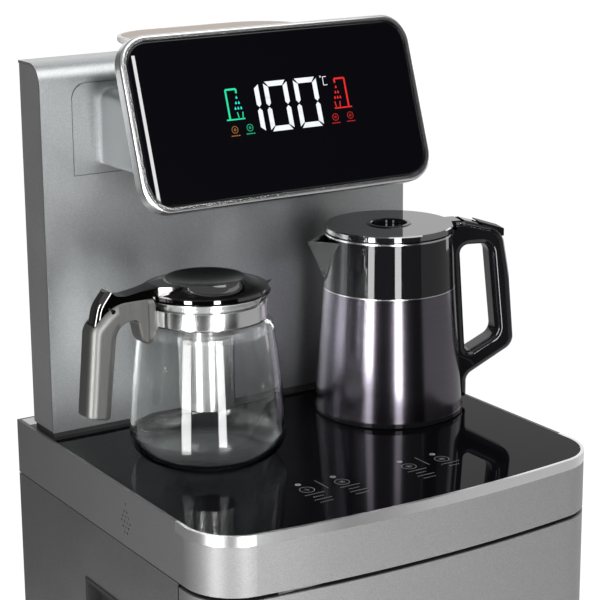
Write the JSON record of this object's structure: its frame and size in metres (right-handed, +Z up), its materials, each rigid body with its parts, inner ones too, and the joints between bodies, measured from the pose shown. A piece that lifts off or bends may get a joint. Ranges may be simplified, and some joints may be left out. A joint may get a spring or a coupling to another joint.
{
  "type": "tea bar water dispenser",
  "caption": "Floor-standing bottle water dispenser with a glass worktop, tilted display head with outlets, lift-off kettle and glass teapot.",
  "frame": {"origin": "on the floor, under the middle of the cabinet's plan", "axes": "+Z up, -Y out of the front (door and display side), +X to the right seen from the front"},
  "size_m": [0.4528, 0.3887, 1.1091],
  "materials": {
    "dark_paint": "metallic flake, satin",
    "silver_paint": "metallic flake, satin",
    "galvanised": "plain sheet",
    "black_plastic": "fine moulded grain",
    "rubber": "matt",
    "black_glass": "black printed tempered glass, polished",
    "chrome": "polished",
    "bronze": "satin tan",
    "white_plastic": "gloss",
    "circuit_board": "solder mask",
    "steel": "brushed and polished stainless steel",
    "silicone": "clear silicone hose",
    "motor_black": "moulded",
    "gloss_black": "high gloss",
    "heater_metal": "as cast",
    "clear_glass": "clear borosilicate glass"
  },
  "bodies": {
    "cabinet": {"side_panel_left": "dark_paint", "side_panel_right": "dark_paint", "worktop_band": "dark_paint", "column_skin": "silver_paint", "column_ends": "silver_paint", "head_arm": "silver_paint", "rear_deck": "silver_paint", "display_back": "silver_paint", "rear_panel": "galvanised", "deck_plate": "galvanised", "column_back_panel": "galvanised", "hinge_pins": "galvanised", "door_magnet": "galvanised", "base_pan": "black_plastic", "side_grip_left": "black_plastic", "side_grip_right": "black_plastic", "column_foot": "black_plastic", "switch_frame": "black_plastic", "cord_gland": "black_plastic", "rear_housing": "black_plastic", "feet": "rubber", "glass_top": "black_glass", "display_glass": "black_glass", "trim_strip": "chrome", "display_bezel": "chrome", "outlet_nozzles": "chrome", "cap_inlay": "bronze", "cap_body": "white_plastic", "control_board": "circuit_board", "touch_board": "circuit_board", "display_board": "circuit_board", "case_screws": "steel", "warming_plate": "steel", "hot_tank": "steel", "water_tubes": "silicone", "pump": "motor_black", "speaker": "motor_black", "kettle_hub": "gloss_black"},
    "door": {"door_skin": "silver_paint", "door_liner": "black_plastic", "door_pull": "black_plastic"},
    "rocker": {"mains_rocker": "black_plastic"},
    "kettle": {"kettle_base": "gloss_black", "kettle_heater": "heater_metal", "kettle_shell": "steel", "kettle_collar": "gloss_black", "kettle_liner": "steel", "kettle_spout": "chrome", "kettle_handle": "gloss_black", "kettle_lid_pin": "steel"},
    "kettle_lid": {"kettle_lid": "gloss_black", "kettle_fill_ring": "gloss_black"},
    "kettle_flap": {"kettle_flap": "gloss_black"},
    "kettle_button": {"kettle_button": "gloss_black"},
    "teapot": {"teapot_jar": "clear_glass", "teapot_collar": "steel", "teapot_handle": "steel", "teapot_lid_pin": "steel", "teapot_infuser": "steel"},
    "teapot_lid": {"teapot_lid": "steel"}
  },
  "joints": [
    {"name": "door_hinge", "type": "hinge", "parent": "cabinet", "child": "door", "pos_m": [0.192, -0.147, 0.368], "axis": [0, 0, 1], "range_deg": [0, 105]},
    {"name": "mains_switch", "type": "hinge", "parent": "cabinet", "child": "rocker", "pos_m": [0.12, 0.1843, 0.13], "axis": [1, 0, 0], "range_deg": [0, 20]},
    {"name": "kettle_lift", "type": "slide", "parent": "cabinet", "child": "kettle", "axis": [0, 0, 1], "range_m": [0, 0.03]},
    {"name": "kettle_lid_hinge", "type": "hinge", "parent": "kettle", "child": "kettle_lid", "pos_m": [0.17826, 0.01081, 0.9156], "axis": [-0.284, -0.9588, 0], "range_deg": [-17, 0]},
    {"name": "kettle_flap_hinge", "type": "hinge", "parent": "kettle_lid", "child": "kettle_flap", "pos_m": [0.12648, 0.02615, 0.9146], "axis": [-0.284, -0.9588, 0], "range_deg": [0, 60], "stiffness_Nm_per_rad": 0.002, "springref_deg": -28.65},
    {"name": "kettle_button_press", "type": "slide", "parent": "kettle", "child": "kettle_button", "axis": [0, 0, -1], "range_m": [0, 0.003], "stiffness_N_per_m": 300, "springref_m": -0.002},
    {"name": "teapot_lift", "type": "slide", "parent": "cabinet", "child": "teapot", "axis": [0, 0, 1], "range_m": [0, 0.04]},
    {"name": "teapot_lid_hinge", "type": "hinge", "parent": "teapot", "child": "teapot_lid", "pos_m": [-0.19179, 0.00731, 0.8872], "axis": [-0.0175, 0.9998, 0], "range_deg": [-24, 0]}
  ]
}
